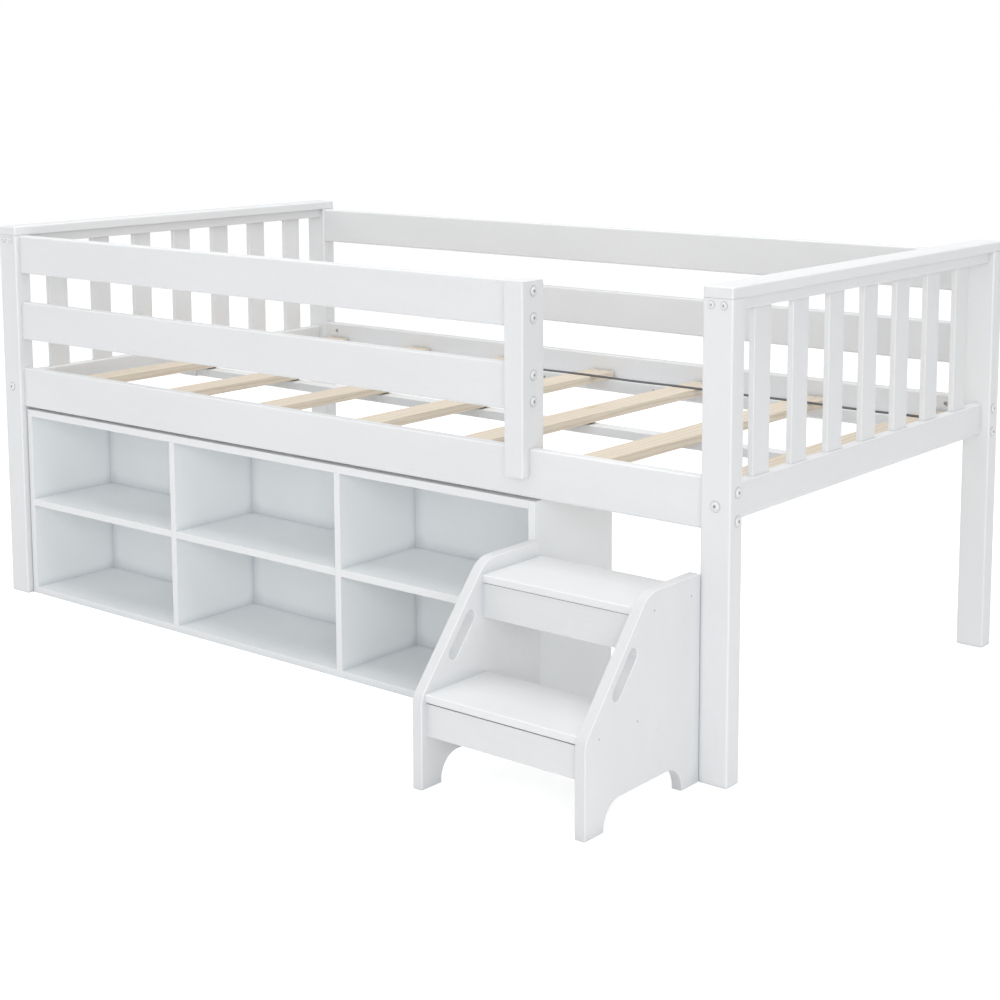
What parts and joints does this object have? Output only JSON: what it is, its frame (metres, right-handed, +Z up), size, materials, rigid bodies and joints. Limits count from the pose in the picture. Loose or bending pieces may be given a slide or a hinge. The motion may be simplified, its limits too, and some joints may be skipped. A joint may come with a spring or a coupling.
{
  "type": "low loft bed",
  "caption": "Low loft bed with slatted ends, guard rails and a slatted base, a cubby bookcase beneath it and a loose stepped stool at the entry gap.",
  "frame": {"origin": "on the floor, in the middle of the bounding box of the bed with its bookcase and stool", "axes": "+X along the bed towards the entry end, +Y from the entry side to the back, +Z up"},
  "size_m": [2.0256, 1.3978, 0.877],
  "materials": {
    "painted_wood": "white satin paint",
    "white_board": "white coated board with edge band",
    "white_panel": "thin white coated fibreboard",
    "bare_pine": "planed, unpainted",
    "black_webbing": "woven flat webbing",
    "black_rubber": "matt",
    "white_steel": "white powder coat",
    "white_bolt": "pale lacquered head",
    "zinc_steel": "bright zinc",
    "beech_dowel": "fluted, unpainted"
  },
  "bodies": {
    "bed_frame": {"front_left_post": "painted_wood", "front_right_post": "painted_wood", "back_left_post": "painted_wood", "back_right_post": "painted_wood", "left_cap_board": "painted_wood", "right_cap_board": "painted_wood", "left_top_rail": "painted_wood", "right_top_rail": "painted_wood", "left_bottom_rail": "painted_wood", "right_bottom_rail": "painted_wood", "left_end_slats": "painted_wood", "right_end_slats": "painted_wood", "front_side_rail": "painted_wood", "back_side_rail": "painted_wood", "front_lower_guard": "painted_wood", "front_upper_guard": "painted_wood", "back_lower_guard": "painted_wood", "back_upper_guard": "painted_wood", "guard_upright": "painted_wood", "front_slat_ledger": "painted_wood", "back_slat_ledger": "painted_wood", "centre_beam": "painted_wood", "beam_hangers": "white_steel", "beam_pads": "black_rubber", "mattress_slat_1": "bare_pine", "mattress_slat_2": "bare_pine", "mattress_slat_3": "bare_pine", "mattress_slat_4": "bare_pine", "mattress_slat_5": "bare_pine", "mattress_slat_6": "bare_pine", "mattress_slat_7": "bare_pine", "front_slat_strap": "black_webbing", "back_slat_strap": "black_webbing", "side_rail_bolts": "white_bolt", "short_bolts": "white_bolt", "top_rail_bolts": "white_bolt", "barrel_nuts": "zinc_steel", "frame_dowels": "beech_dowel", "frame_screws": "zinc_steel", "slat_screws": "zinc_steel", "hanger_screws": "zinc_steel"},
    "bookcase": {"bookcase_left_side": "white_board", "bookcase_right_side": "white_board", "bookcase_bottom": "white_board", "bookcase_top": "white_board", "bookcase_divider_1": "white_board", "bookcase_divider_2": "white_board", "bookcase_shelf_1": "white_board", "bookcase_shelf_2": "white_board", "bookcase_shelf_3": "white_board", "bookcase_back": "white_panel", "bookcase_dowels": "beech_dowel"},
    "step_stool": {"step_left_side": "painted_wood", "step_right_side": "painted_wood", "lower_tread": "painted_wood", "upper_tread": "painted_wood", "lower_apron": "painted_wood", "upper_apron": "painted_wood", "step_screws": "zinc_steel", "step_dowels": "beech_dowel"}
  },
  "joints": [
    {"name": "step_stool_slide", "type": "slide", "parent": "bed_frame", "child": "step_stool", "axis": [0, -1, 0], "range_m": [0, 0.4]},
    {"name": "bookcase_slide", "type": "slide", "parent": "bed_frame", "child": "bookcase", "axis": [0, -1, 0], "range_m": [0, 0.3]}
  ]
}
